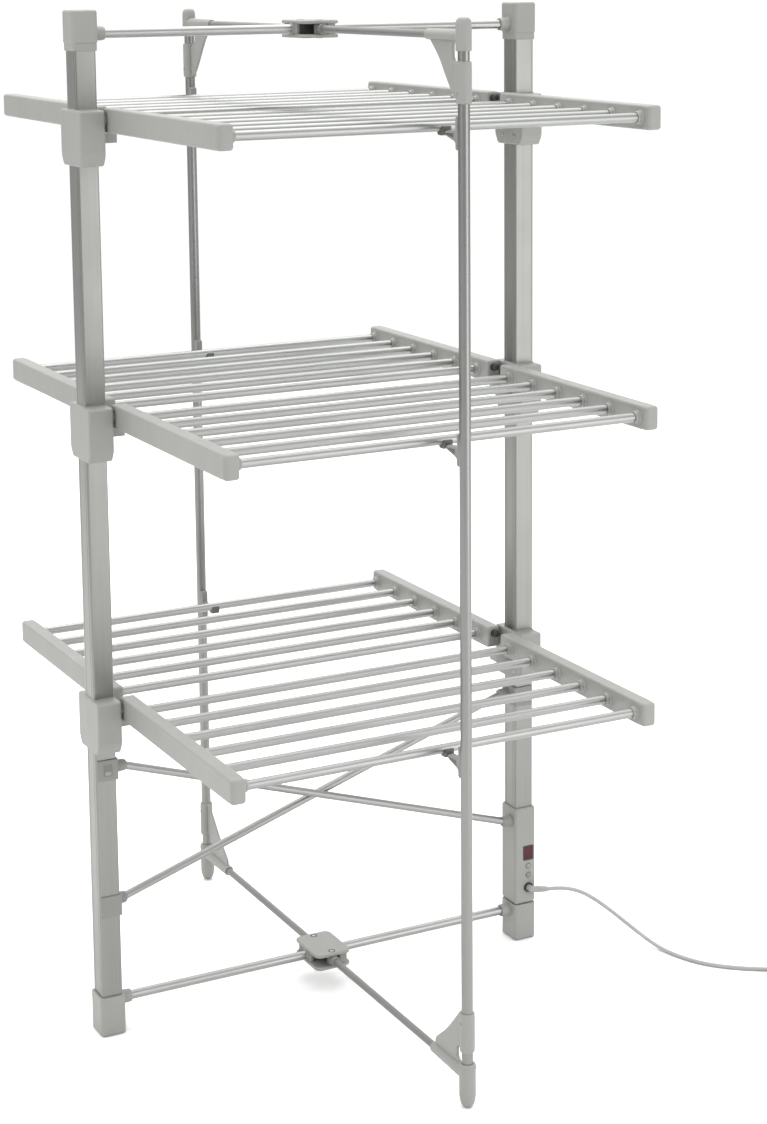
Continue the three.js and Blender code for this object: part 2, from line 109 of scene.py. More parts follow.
COIL_X, COIL_Y = 621, -349
PLUG_X, PLUG_Y = 552, -394

# ---- Shapes, each a pair of vertices and faces ----


def rounded(width, height, r, at=(0, 0), steps=5):
    """A rectangle with rounded corners."""
    w, h = width / 2 - r, height / 2 - r
    corners = ((w, h, 0), (-w, h, 90), (-w, -h, 180), (w, -h, 270))
    return [
        (
            at[0] + x + r * math.cos(math.radians(start + 90 * k / steps)),
            at[1] + y + r * math.sin(math.radians(start + 90 * k / steps)),
        )
        for x, y, start in corners
        for k in range(steps + 1)
    ]


def eased(points, radii, steps):
    """A polygon with each of its corners rounded off by its own radius."""
    out = []
    for i, (p, radius) in enumerate(zip(points, radii)):
        p, before, after = (
            Vector(p),
            Vector(points[i - 1]),
            Vector(points[(i + 1) % len(points)]),
        )
        a = p + (before - p).normalized() * min(radius, (before - p).length * 0.45)
        b = p + (after - p).normalized() * min(radius, (after - p).length * 0.45)
        for k in range(steps + 1):
            t = k / steps
            out.append(tuple((1 - t) ** 2 * a + 2 * t * (1 - t) * p + t * t * b))
    return out


def inset(points, d):
    """A polygon, counter-clockwise, moved inwards by d all round."""
    area = sum(
        points[i - 1][0] * y - x * points[i - 1][1] for i, (x, y) in enumerate(points)
    )
    points = points if area > 0 else points[::-1]
    out = []
    for i, p in enumerate(points):
        before = Vector(p) - Vector(points[i - 1])
        after = Vector(points[(i + 1) % len(points)]) - Vector(p)
        n, m = (Vector((-e.y, e.x)).normalized() for e in (before, after))
        out.append(tuple(Vector(p) + (n + m) * (d / max(1 + n.dot(m), 0.25))))
    return out


ALONG = {
    "x": lambda u, v, w: (w, u, v),
    "y": lambda u, v, w: (u, w, v),
    "z": lambda u, v, w: (u, v, w),
}


def loft(loops, capped=True):
    """A skin over loops of equal length, with its two ends filled if capped."""
    n, verts = len(loops[0]), [v for loop in loops for v in loop]
    faces = [
        (i * n + j, i * n + (j + 1) % n, (i + 1) * n + (j + 1) % n, (i + 1) * n + j)
        for i in range(len(loops) - 1)
        for j in range(n)
    ]
    if capped:
        last = (len(loops) - 1) * n
        faces += [tuple(range(n - 1, -1, -1)), tuple(range(last, last + n))]
    return verts, faces


def slab(outline, axis, low, high, edge, steps=3):
    """An outline extruded along an axis, with its two rims rounded."""
    rims = []
    for k in range(steps + 1):
        a = math.pi / 2 * k / steps
        rims.append((edge * (1 - math.sin(a)), edge * (1 - math.cos(a))))
    levels = [(d, low + w) for d, w in rims] + [(d, high - w) for d, w in rims[::-1]]
    return loft(
        [[ALONG[axis](u, v, w) for u, v in inset(outline, d)] for d, w in levels]
    )


def frame_of(direction):
    """Two unit vectors across a direction, and the one along it."""
    z = Vector(direction).normalized()
    x = (Vector((0, 0, 1)) if abs(z.z) < 0.9 else Vector((1, 0, 0))).cross(z)
    return x.normalized(), z.cross(x).normalized(), z


def circle(middle, x, y, r, sides):
    """Points round a circle that lies in the plane of x and y."""
    angles = [2 * math.pi * k / sides for k in range(sides)]
    return [tuple(middle + (x * math.cos(a) + y * math.sin(a)) * r) for a in angles]


SMALLEST_R = 0.02


def turned(profile, base, direction, sides=24):
    """A profile of (radius, height) pairs revolved about a direction."""
    x, y, z = frame_of(direction)
    return loft(
        [
            circle(Vector(base) + z * height, x, y, max(r, SMALLEST_R), sides)
            for r, height in profile
        ]
    )


def rod(start, end, r, edge, sides=24, r_end=None):
    """A round bar with slightly rounded ends, tapered if r_end is given."""
    length = (Vector(end) - Vector(start)).length
    tip = r if r_end is None else r_end
    profile = [
        (r - edge, 0),
        (r - edge * 0.3, edge * 0.3),
        (r, edge),
        (tip, length - edge),
        (tip - edge * 0.3, length - edge * 0.3),
        (tip - edge, length),
    ]
    return turned(profile, start, Vector(end) - Vector(start), sides)


def swept(path, radii, sides):
    """A tube along points, with a radius at each."""
    points = [Vector(p) for p in path]
    loops, x = [], None
    for i, p in enumerate(points):
        ahead = points[min(i + 1, len(points) - 1)] - points[max(i - 1, 0)]
        if x is None:
            x, y, z = frame_of(ahead)
        else:
            z = ahead.normalized()
            x = (x - z * x.dot(z)).normalized()
            y = z.cross(x)
        loops.append(circle(p, x, y, radii[i], sides))
    return loft(loops)


def block(x, y, z, r, edge=1.0):
    """A box with rounded edges, from its three ranges."""
    middle = ((x[0] + x[1]) / 2, (y[0] + y[1]) / 2)
    plan = rounded(x[1] - x[0], y[1] - y[0], r, middle, 4)
    return slab(plan, "z", z[0], z[1], edge)


def screw(at, direction, r, high):
    """A pan head with a cross recess: the head, and two near-black slots painted as the shade
    in the recess.
    """
    x, y, z = frame_of(direction)
    dome = [
        (r, 0),
        (r, high * 0.45),
        (r * 0.86, high * 0.8),
        (r * 0.6, high * 0.96),
        (0, high),
    ]
    slots = []
    for across, along in ((x, y), (y, x)):
        corners = [
            Vector(at)
            + across * (s * r * 0.55)
            + along * (t * r * 0.13)
            + z * (high + lift)
            for lift in (-0.6, 0.06)
            for s, t in ((-1, -1), (1, -1), (1, 1), (-1, 1))
        ]
        slots.append(
            loft([[tuple(c) for c in corners[:4]], [tuple(c) for c in corners[4:]]])
        )
    return [(STEEL, turned(dome, at, direction, 20))] + [(RECESS_SHADE, s) for s in slots]


def mapped(parts, place):
    """Parts with each vertex moved by a function."""
    return [(m, ([place(v) for v in verts], faces)) for m, (verts, faces) in parts]


def half_turn(v):
    return (-v[0], -v[1], v[2])


# Wings and gates are drawn to the front; a rear one is the same, turned half round.
TURNS = {"front": lambda v: v, "rear": half_turn}


def at_height(z):
    return lambda v: (v[0], v[1], v[2] + z)


SHARP = math.radians(40)


def piece(name, body, slot, parts, replaces=()):
    """One object on a CAD body, from (material, shape) parts."""
    mesh, made = bpy.data.meshes.new(name), bmesh.new()
    used = []
    for material, (verts, faces) in parts:
        if material not in used:
            used.append(material)
            mesh.materials.append(material)
        corners = [made.verts.new(Vector(v) * MM) for v in verts]
        for face in faces:
            new = made.faces.new([corners[i] for i in face])
            new.material_index, new.smooth = used.index(material), True
    bmesh.ops.recalc_face_normals(made, faces=made.faces)
    made.to_mesh(mesh)
    made.free()
    mesh.set_sharp_from_angle(angle=SHARP)
    thing = bpy.data.objects.new(name, mesh)
    bpy.context.scene.collection.objects.link(thing)
    normals = thing.modifiers.new("normals", "WEIGHTED_NORMAL")
    normals.keep_sharp = True
    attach(thing, body)
    if replaces:
        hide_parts(*replaces)
    return thing


# ---- Materials ----


def connect(tree, value, socket):
    """Link a socket to another, or give it a value."""
    if isinstance(value, bpy.types.NodeSocket):
        tree.links.new(value, socket)
    else:
        socket.default_value = value


def add_node(tree, kind, inputs, **settings):
    """A shader node with its settings made and its inputs connected."""
    made = tree.nodes.new(kind)
    for key, value in settings.items():
        setattr(made, key, value)
    for key, value in inputs.items():
        connect(tree, value, made.inputs[key])
    return made


class Finish:
    """A material under construction, with short ways to add nodes."""

    def __init__(self, name):
        self.material = bpy.data.materials.new(name)
        self.material.use_nodes = True
        self.tree = self.material.node_tree
        self.shader = self.tree.nodes["Principled BSDF"]
        self.place = self.node("ShaderNodeTexCoord", {}).outputs["Object"]

    def node(self, kind, inputs, **settings):
        return add_node(self.tree, kind, inputs, **settings)

    def noise(self, stretch, detail=2.0, rough=0.5):
        """Noise over the object's own space, with a number of cells per metre on each axis."""
        scaled = self.node(
            "ShaderNodeMapping", {"Vector": self.place, "Scale": stretch}
        )
        inputs = {
            "Vector": scaled.outputs[0],
            "Scale": 1.0,
            "Detail": detail,
            "Roughness": rough,
        }
        return self.node("ShaderNodeTexNoise", inputs).outputs["Fac"]

    def ramp(self, factor, stops):
        made = self.node("ShaderNodeValToRGB", {"Fac": factor})
        elements = made.color_ramp.elements
        while len(elements) < len(stops):
            elements.new(0.5)
        for element, (where, color) in zip(elements, stops):
            element.position = where
            element.color = (*color, 1)
        return made.outputs["Color"]

    def multiplied(self, factor, a, b):
        """Colour a, multiplied by colour b as far as the factor says."""
        settings = {"data_type": "RGBA", "blend_type": "MULTIPLY"}
        return self.node("ShaderNodeMix", {0: factor, 6: a, 7: b}, **settings).outputs[2]

    def span(self, factor, low, high):
        inputs = {"Value": factor, "To Min": low, "To Max": high}
        return self.node("ShaderNodeMapRange", inputs).outputs["Result"]

    def bump(self, height, strength, depth, under=None):
        inputs = {"Height": height, "Strength": strength, "Distance": depth}
        if under is not None:
            inputs["Normal"] = under
        return self.node("ShaderNodeBump", inputs).outputs["Normal"]

    def set(self, **values):
        names = {
            "color": "Base Color",
            "roughness": "Roughness",
            "metallic": "Metallic",
            "normal": "Normal",
            "coat": "Coat Weight",
            "coat_roughness": "Coat Roughness",
            "specular": "Specular IOR Level",
        }
        for key, value in values.items():
            connect(self.tree, value, self.shader.inputs[names[key]])
        return self.material


def shade(color, k):
    return tuple(min(1.0, c * k) for c in color)


def moulded(name, color, roughness=0.5, grain=1500):
    """Injection-moulded plastic: a spark-eroded grain, and slow drifts of tone and gloss."""
    f = Finish(name)
    slow = f.noise((9, 9, 6), 3)
    fine = f.noise((grain, grain, grain), 2, 0.6)
    tone = f.ramp(slow, [(0.3, shade(color, 0.955)), (0.7, shade(color, 1.03))])
    speck = f.ramp(fine, [(0.3, (0.93, 0.93, 0.93)), (0.7, (1, 1, 1))])
    flow = f.noise((60, 60, 14), 2)
    return f.set(
        color=f.multiplied(0.6, tone, speck),
        roughness=f.span(flow, roughness - 0.07, roughness + 0.08),
        normal=f.bump(fine, 0.35, 0.00012),
        specular=0.42,
    )


def drawn(name, color, along, roughness, lines=0.04):
    """Drawn or extruded metal: fine die lines along one axis, with long faint bands."""
    f = Finish(name)
    fine = tuple(3 if axis == along else 700 for axis in "xyz")
    broad = tuple(1.5 if axis == along else 220 for axis in "xyz")
    die, band = f.noise(fine, 2, 0.6), f.noise(broad, 3)
    cloud = f.noise((16, 16, 16), 3)
    tone = f.ramp(die, [(0.3, shade(color, 1 - lines)), (0.7, shade(color, 1 + lines))])
    tint = f.ramp(band, [(0.3, (0.94, 0.945, 0.94)), (0.7, (1, 1, 1))])
    return f.set(
        color=f.multiplied(0.7, tone, tint),
        roughness=f.span(cloud, roughness - 0.05, roughness + 0.07),
        metallic=1.0,
        normal=f.bump(die, 0.05, 0.00005),
    )


def painted(name, color):
    """Powder coat: an orange-peel ripple over a fine grain."""
    f = Finish(name)
    peel, fine = f.noise((420, 420, 420), 2), f.noise((1800, 1800, 1800), 2, 0.6)
    slow = f.noise((12, 12, 12), 2)
    tone = f.ramp(slow, [(0.3, shade(color, 0.95)), (0.7, shade(color, 1.04))])
    speck = f.ramp(fine, [(0.35, (0.9, 0.9, 0.9)), (0.65, (1, 1, 1))])
    return f.set(
        color=f.multiplied(0.5, tone, speck),
        roughness=f.span(peel, 0.36, 0.5),
        normal=f.bump(peel, 0.3, 0.00025, f.bump(fine, 0.2, 0.0001)),
        coat=0.12,
        coat_roughness=0.25,
    )


def sheath(name, color):
    """Soft cord sheath: nearly smooth, with a faint ripple and handling marks."""
    f = Finish(name)
    ripple, rub = f.noise((260, 260, 260), 2), f.noise((30, 30, 30), 3)
    return f.set(
        color=f.ramp(rub, [(0.3, shade(color, 0.94)), (0.7, shade(color, 1.03))]),
        roughness=f.span(ripple, 0.4, 0.58),
        normal=f.bump(ripple, 0.25, 0.0002),
    )


def display_glass(name):
    """A dark red tinted window, smooth, with faint smears in its gloss."""
    f = Finish(name)
    smear, cloud = f.noise((140, 140, 40), 3), f.noise((60, 60, 60), 2)
    return f.set(
        color=f.ramp(cloud, [(0.3, (0.05, 0.009, 0.011)), (0.7, (0.08, 0.015, 0.017))]),
        roughness=f.span(smear, 0.16, 0.3),
        specular=0.25,
    )


PLASTIC = moulded("light_grey_plastic", (0.245, 0.247, 0.232))
PLASTIC_DEEP = moulded("deeper_grey_plastic", (0.195, 0.197, 0.184), 0.55)
# Near black, painted as the shade inside a screw's cross recess.
RECESS_SHADE = moulded("painted_recess_shade", (0.025, 0.025, 0.022), 0.7)
# Dark grey, painted as shade: between the hub's plates, in the rings round its screws, under
# the outermost rod and in a catch's mouth.
PAINTED_SHADE = moulded("painted_shade_plastic", (0.07, 0.069, 0.06), 0.5)
# Mid grey, painted as the shade inside a brace clip's window.
WINDOW_SHADE = moulded("painted_window_shade", (0.15, 0.151, 0.14), 0.6)
BLACK = moulded("black_plastic", (0.022, 0.022, 0.023), 0.42)
POST_METAL = drawn("anodised_extrusion", (0.232, 0.234, 0.222), "z", 0.36)
POLE_METAL = drawn("anodised_pole", (0.235, 0.237, 0.228), "z", 0.34)
ROD_METAL = drawn("bright_rod", (0.285, 0.289, 0.28), "x", 0.36, lines=0.03)
BAR_METAL = drawn("bright_cross_bar", (0.3, 0.304, 0.295), "x", 0.33, lines=0.03)
SATIN = drawn("satin_brace", (0.29, 0.293, 0.283), "x", 0.4, lines=0.03)
PAINT = painted("grey_powder_coat", (0.135, 0.135, 0.128))
STEEL = drawn("screw_steel", (0.5, 0.5, 0.5), "z", 0.3, lines=0.03)
CORD = sheath("cord_sheath", (0.3, 0.3, 0.292))
PLUG_GREY = moulded("plug_plastic", (0.27, 0.27, 0.262), 0.45, 1200)
DISPLAY = display_glass("display_window_glass")

# ---- Mains cord, from the strain relief's tip through the coil to the plug ----
ROUTE = [
    (361.8, -40.1, 82.5),
    (374, -44.3, 82.6),
    (388, -48.8, 81.2),
    (403, -53.6, 77.2),
    (418, -59, 69.9),
    (432, -65.6, 60.2),
    (445, -73.8, 49.4),
    (457, -84, 38.2),
    (467.5, -96, 27.6),
    (476.5, -110, 18.4),
    (483.5, -125.5, 11.1),
    (488.8, -142, 6.4),
    (493, -159, 3.9),
    (497.2, -176, 3.1),
    (502.4, -193, 3.1),
    (509.4, -210, 3.1),
    (518.6, -226.4, 3.1),
    (530.4, -241.6, 3.1),
    (544.4, -255.6, 3.1),
    (560, -268.6, 3.1),
    (577, -281, 3.1),
    (595, -292.4, 3.1),
    (614, -302, 3.1),
]
CORD_R, FIRST_TURN, SPACING = 3, 41, 6
LAYER_LOW, LAYER_HIGH = 3.1, 9.25
COIL_START, COIL_SWEEP, COIL_STEPS = 68.4, 5 * 360 + 158.4, 130
CLIMB_FROM, CLIMB_TO, CLIMB_DIP = 900, 1020, 0.72
BUNDLE_R, BUNDLE_Z = 33.5, 6.9


def catmull(points, per_span):
    """Points on a smooth curve through the given ones."""
    p = [Vector(q) for q in points]
    p = [2 * p[0] - p[1], *p, 2 * p[-1] - p[-2]]
    out = []
    for a, b, c, d in zip(p, p[1:], p[2:], p[3:]):
        for k in range(per_span):
            t = k / per_span
            out.append(
                0.5
                * (
                    2 * b
                    + (c - a) * t
                    + (2 * a - 5 * b + 4 * c - d) * t * t
                    + (3 * b - a - 3 * c + d) * t**3
                )
            )
    return [*out, p[-2]]


def coil_points():
    """In along the outer turn of the lower layer, up at the innermost, out along the upper."""
    inner = FIRST_TURN - SPACING * CLIMB_FROM / 360
    out = []
    for step in range(COIL_STEPS + 1):
        turn = COIL_SWEEP * step / COIL_STEPS
        share = min(max((turn - CLIMB_FROM) / (CLIMB_TO - CLIMB_FROM), 0), 1)
        if turn <= CLIMB_FROM:
            r = FIRST_TURN - SPACING * turn / 360
        elif turn <= CLIMB_TO:
            r = inner - CLIMB_DIP * math.sin(math.pi * share)
        else:
            outwards = (turn - CLIMB_TO) / (COIL_SWEEP - CLIMB_TO)
            r = inner + (FIRST_TURN - inner) * outwards
        rise = share * share * (3 - 2 * share)
        a = math.radians(COIL_START - turn)
        out.append(
            (
                COIL_X + r * math.cos(a),
                COIL_Y + r * math.sin(a),
                LAYER_LOW + (LAYER_HIGH - LAYER_LOW) * rise,
            )
        )
    return out


def make_cord():
    """The cord as one curve, and its length in metres."""
    tail = [(609, -391.5, 9.2), (601, -393.6, 9.1), (595, -394, 9.0)]
    line = catmull([*ROUTE, *coil_points(), *tail], 4)
    data = bpy.data.curves.new("mains_flex", "CURVE")
    data.dimensions, data.bevel_depth, data.bevel_resolution = "3D", CORD_R * MM, 3
    data.use_fill_caps = True
    spline = data.splines.new("POLY")
    spline.points.add(len(line) - 1)
    for point, p in zip(spline.points, line):
        point.co = (*(p * MM), 1)
    spline.use_smooth = True
    data.materials.append(CORD)
    flex = bpy.data.objects.new("mains_flex", data)
    bpy.context.scene.collection.objects.link(flex)
    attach(flex, "stand")
    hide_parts("mains_cord", "cord_coil")
    return flex, sum((b - a).length for a, b in zip(line, line[1:])) * MM


def make_tie(name, degrees):
    """A flat tie wrapped round the coil's bundle, with its twisted tail."""
    a = math.radians(degrees)
    out = Vector((math.cos(a), math.sin(a), 0))
    side = Vector((-math.sin(a), math.cos(a), 0))
    hole = rounded(22.6, 12.6, 4, (BUNDLE_R, BUNDLE_Z), 5)
    loops = []
    for u, v in hole:
        centre = Vector((COIL_X, COIL_Y, 0)) + out * u + Vector((0, 0, v))
        inward = Vector((BUNDLE_R - u, BUNDLE_Z - v)).normalized()
        deep = out * inward.x + Vector((0, 0, inward.y))
        loops.append(
            [
                tuple(centre + side * (s * 2.2) + deep * (t * 0.45))
                for s, t in ((-1, -1), (1, -1), (1, 1), (-1, 1))
            ]
        )
    band = loft([*loops, loops[0]], capped=False)
    top = Vector((COIL_X, COIL_Y, 13.4)) + out * BUNDLE_R
    tail = [top - side * 6 + Vector((0, 0, 0.2)), top, top + side * 5]
    knot = swept([*tail, top + side * 12 + out * 3], [1.1, 1.6, 1.2, 0.8], 10)
    return piece(name, "stand", "black_plastic", [(BLACK, band), (BLACK, knot)])


def make_plug():
    """A flat moulded plug on its side: ribbed grip, tapered relief, two round pins."""
    z = 9.0
    plan = [(0, -17), (21, -17), (36, -6.5), (36, 6.5), (21, 17), (0, 17)]
    plan = [(x + PLUG_X, y + PLUG_Y) for x, y in eased(plan, (3, 9, 3, 3, 9, 3), 5)]
    face = [(x + PLUG_X, y + PLUG_Y) for x, y in rounded(3, 31, 1.2, (0.2, 0), 4)]
    parts = [
        (PLUG_GREY, slab(plan, "z", 0.15, 17.9, 4, 5)),
        (PLUG_GREY, slab(face, "z", 1.6, 16.4, 1, 3)),
    ]
    for i in range(5):
        x = PLUG_X + 8 + 3.4 * i
        for s in (-1, 1):
            y = PLUG_Y + s * 16.9
            rib = block((x, x + 1.6), (y - 0.9, y + 0.9), (4, 14), 0.7, 0.7)
            parts.append((PLUG_GREY, rib))
    relief = [(5.6, 0), (5.2, 3)]
    for i in range(4):
        base, neck = 3 + 2.6 * i, 4.2 - 0.2 * i
        relief += [(5.2 - 0.25 * i, base + 0.6), (neck, base + 0.9)]
        relief += [(neck, base + 2.0), (5.0 - 0.25 * i, base + 2.3)]
    relief += [(3.9, 14.4), (3.2, 15)]
    parts.append((PLUG_GREY, turned(relief, (PLUG_X + 35, PLUG_Y, z), (1, 0, 0), 20)))
    for s in (-1, 1):
        y = PLUG_Y + s * 9.5
        sleeve = rod((PLUG_X + 1, y, z), (PLUG_X - 9.5, y, z), 2.35, 0.3, 20)
        pin = rod((PLUG_X - 9, y, z), (PLUG_X - 19, y, z), 2.3, 1.1, 20)
        parts += [(PLUG_GREY, sleeve), (STEEL, pin)]
    return piece("mains_plug_body", "stand", "cord_sheath", parts, ["mains_plug"])


def make_gland():
    """A black ring on the panel, the grey elbow that comes out of it, and its ribbed relief."""
    x, z = PANEL_X, GLAND_Z
    ring = [(7.6, 0), (7.6, 1.6), (7.0, 2.4), (5.6, 2.5), (5.2, 1.8), (5.2, 0.2), (0, 0.2)]
    parts = [(BLACK, turned(ring, (x, PANEL_Y + 0.1, z), (0, -1, 0), 32))]
    knee = [(x, -21, z), (x, -24, z), (x, -27, z), (x + 0.7, -29.6, z), (x + 2.6, -31.6, z)]
    knee += [(x + 6, -33.6, 82.9), (350.5, -35.6, 82.8), (356, -37.8, 82.65)]
    knee.append((361.6, -40, 82.5))
    parts.append((CORD, swept(knee, [4.6, 4.7, 4.8, 4.9, 4.9, 4.7, 4.5, 4.3, 3.9], 20)))
    start, tip = Vector((346, -33.8, 82.9)), Vector((361.5, -40, 82.5))
    for i in range(5):
        p = start.lerp(tip, i / 5)
        q = start.lerp(tip, (i + 0.55) / 5)
        parts.append((CORD, rod(p, q, 5.4 - 0.25 * i, 0.4, 20, 5.3 - 0.25 * i)))
    return piece("cord_relief", "stand", "cord_sheath", parts, ["cord_gland"])


flex, flex_length = make_cord()
gland, plug = make_gland(), make_plug()
ties = [make_tie("coil_tie_a", 150), make_tie("coil_tie_b", 330)]

# ---- Posts, caps, feet and wing brackets ----


def bar_boss(side, z):
    """The tapered boss that holds a cross bar's end, with a rim round the bar."""
    profile = [(10.5, 0), (9.6, 3), (9.3, 12), (8.7, 14.6), (7.8, 15), (6.7, 14.4), (6.5, 12)]
    return turned(profile, (side * 316, 0, z), (-side, 0, 0), 32)


def post_section():
    """The extrusion's outline, with two shallow grooves down its outer and its inner face."""
    w, d = POST_W / 2, POST_D / 2
    face = [(w, -d), (w, -11), (w - 0.8, -10.4), (w - 0.8, -9.6), (w, -9)]
    face += [(x, -y) for x, y in face[::-1]]
    radii = ([3.2] + [0.3] * 8 + [3.2]) * 2
    return eased(face + [(-x, -y) for x, y in face], radii, 4)


def make_post(name, side):
    """A post with its cap and its foot."""
    section = [(side * POST_X + x, y) for x, y in post_section()]
    tube = slab(section, "z", POST_LOW, POST_HIGH, 0.4)
    piece(f"{name}_post_tube", "stand", "anodised", [(POST_METAL, tube)], [f"{name}_post"])

    at = (side * POST_X, 0)
    cap = [
        (PLASTIC, slab(rounded(36, 41, 5.5, at, 6), "z", HEIGHT - 44, HEIGHT, 3.2, 5)),
        (PLASTIC, slab(rounded(34.2, 38.6, 4.5, at, 6), "z", HEIGHT - 53, HEIGHT - 41, 0.8)),
        (PLASTIC, bar_boss(side, BAR_HIGH)),
    ]
    piece(f"{name}_cap_shell", "stand", "grey_plastic", cap, [f"{name}_post_cap"])

    foot = [
        (PLASTIC, slab(rounded(36.6, 41.6, 5, at, 6), "z", 1.2, 50, 1.6, 4)),
        (PLASTIC, slab(rounded(37, 42, 5, at, 6), "z", 46, 57, 1.6, 4)),
        (PLASTIC_DEEP, slab(rounded(32, 37, 4, at, 6), "z", 0, 2.5, 0.5)),
        (PLASTIC, bar_boss(side, BAR_LOW)),
    ]
    piece(f"{name}_foot_shell", "stand", "grey_plastic", foot, [f"{name}_foot"])


def make_bracket(tier, z, name, side):
    """A sleeve on the post with the wings' two hinge pins and the ledge under their rails."""
    x = side * POST_X
    outline = [(-30, -60), (30, -60), (38, -47), (38, 14), (-38, 14), (-38, -47)]
    outline = eased(outline, (3, 3, 5, 4, 4, 5), 5)
    body = slab(outline, "x", x - BRACKET_HALF, x + BRACKET_HALF, 2.4, 4)
    collar = slab(rounded(32.4, 36.4, 3.5, (x, 0), 5), "z", 12, 15.2, 0.8)
    inner = sorted((side * 290, side * 318))
    ledge = slab([(-10.5, -31), (10.5, -31), (10.5, -18), (-10.5, -18)], "x", *inner, 1.6)
    parts = [(PLASTIC, body), (PLASTIC, collar), (PLASTIC, ledge)]
    for y in (-HINGE_Y, HINGE_Y):
        pin = rod((side * 315, y, 0), (side * BOSS_END, y, 0), 4, 0.5)
        washer = rod((side * 317, y, 0), (side * 313.2, y, 0), 6.4, 0.5)
        parts += [(STEEL, pin), (PLASTIC_DEEP, washer)]
    # Each screw sits on a deeper grey disc and ring, painted as the shade of its recess.
    recess = [(4.2, 0), (4.2, 0.35), (3.2, 0.4), (3.0, 0.15), (0, 0.15)]
    for y in (-16, 16):
        at = (x - side * (BRACKET_HALF - 0.1), y, BRACKET_SCREW)
        parts.append((PLASTIC_DEEP, turned(recess, at, (-side, 0, 0), 20)))
        face = (x - side * BRACKET_HALF, y, BRACKET_SCREW)
        parts += screw(face, (-side, 0, 0), 2.6, 0.6)
    bracket = mapped(parts, at_height(z))
    node = f"{tier}_{name}_bracket"
    piece(f"{node}_shell", "stand", "grey_plastic", bracket, [node])


for name, side in SIDES.items():
    make_post(name, side)
    for tier, z in TIERS.items():
        make_bracket(tier, z, name, side)

# ---- Cross bars, hubs and braces ----


def make_hub(name, z):
    """Two plates on a block that grips the cross bar; each gate's eyes turn between them."""
    parts = []
    for low, high in ((-12, -7), (7, 12)):
        parts.append((PLASTIC, slab(rounded(56, 78, 10, steps=8), "z", low, high, 1.8, 4)))
    # The block between the plates is dark grey, painted as the shade between them.
    parts.append((PAINTED_SHADE, block((-24, 24), (-11, 11), (-8, 8), 3)))
    parts.append((PLASTIC, block((-26.4, -20), (-12, 12), (-8, 8), 2)))
    parts.append((PLASTIC, block((20, 26.4), (-12, 12), (-8, 8), 2)))
    # The blocks beside the arms' eyes are the deeper grey, painted as the shade between the
    # plates.
    for x, y in (((9, 22), (-37, -20)), ((-22, -9), (20, 37))):
        parts.append((PLASTIC_DEEP, block(x, y, (-8, 8), 3)))
    for s in (-1, 1):
        y = s * PIVOT_Y
        parts.append((STEEL, rod((0, y, -8), (0, y, 8), 3, 0.3)))
        # A dark ring round each screw, painted as the shade of the hole it sits in.
        rim = [(5.2, 0), (5.2, 0.25), (4.8, 0.45), (4.3, 0.4), (4.2, 0.12), (0, 0.12)]
        for up in (-1, 1):
            parts.append((PAINTED_SHADE, turned(rim, (0, y, up * 11.95), (0, 0, up), 28)))
            parts += screw((0, y, up * 12), (0, 0, up), 2.7, 0.5)
        grip = [(8.6, 0), (8.2, 3.2), (7.2, 3.8), (6, 3.8)]
        parts.append((PLASTIC, turned(grip, (s * 25.5, 0, 0), (s, 0, 0), 28)))
    hub = mapped(parts, at_height(z))
    piece(f"{name}_hub_shell", "stand", "grey_plastic", hub, [f"{name}_hub"])
    bar = [(BAR_METAL, rod((-BAR_END, 0, z), (BAR_END, 0, z), BAR_R, 0.5, 32))]
    piece(f"{name}_bar_tube", "stand", "bright_tube", bar, [f"{name}_cross_bar"])


make_hub("top", BAR_HIGH)
make_hub("bottom", BAR_LOW)


def brace_clip(side, z, windowed):
    """A clip round the post, which may have a window, a darker sheet painted as the shade of an
    opening, and a latch in its front.
    """
    low, high = sorted((side * (POST_X + 13.6), side * CLIP_FACE))
    middle, width = (low + high) / 2, high - low
    plan = rounded(width, POST_D + 2 * CLIP_WALL, 2.4, (middle, 0), 5)
    parts = [(PLASTIC_DEEP, slab(plan, "z", z - CLIP_HALF, z + CLIP_HALF, 1.2, 4))]
    if windowed:
        front = -(POST_D / 2 + CLIP_WALL)
        window = rounded(13, 17, 1.5, (middle, z), 4)
        latch = rounded(9, 6, 1.5, (middle, z - 4), 4)
        # The window is painted shade: a darker sheet standing for the opening.
        parts.append((WINDOW_SHADE, slab(window, "y", front - 0.15, front + 1, 0.1)))
        parts.append((PLASTIC, slab(latch, "y", front - 1, front + 1, 0.6)))
    return parts


def brace_boss(face, y, z, inward):
    """The boss that holds a brace's end, off a face and towards the middle."""
    profile = [(9.6, 0), (8.9, 2), (8.5, 4), (8.2, 11), (7.4, 14), (6, 15.2), (5.4, 15.2)]
    return (PLASTIC_DEEP, turned(profile, (face, y, z), (inward, 0, 0), 28))


def make_brace(name, left_z, right_z, y, right_face, clips):
    """A diagonal from post to post. A clip is a side, a height and whether it has a window."""
    start = (SOCKET_DEEP - CLIP_FACE, y, left_z)
    end = (right_face - SOCKET_DEEP, y, right_z)
    parts = [(SATIN, rod(start, end, BRACE_R, 0.5, 28))]
    for clip in clips:
        parts += brace_clip(*clip)
    parts.append(brace_boss(-CLIP_FACE, y, left_z, 1))
    parts.append(brace_boss(right_face, y, right_z, -1))
    piece(f"{name}_assembly", "stand", "grey_paint", parts, [name])


falling_clips = [(-1, BRACE_HIGH, True)]
rising_clips = [(-1, BRACE_LOW, False), (1, BRACE_HIGH, False)]
make_brace("falling_brace", BRACE_HIGH, BRACE_LOW, -BRACE_Y, BOX_FACE, falling_clips)
make_brace("rising_brace", BRACE_LOW, BRACE_HIGH, BRACE_Y, CLIP_FACE, rising_clips)

# ---- Wings ----


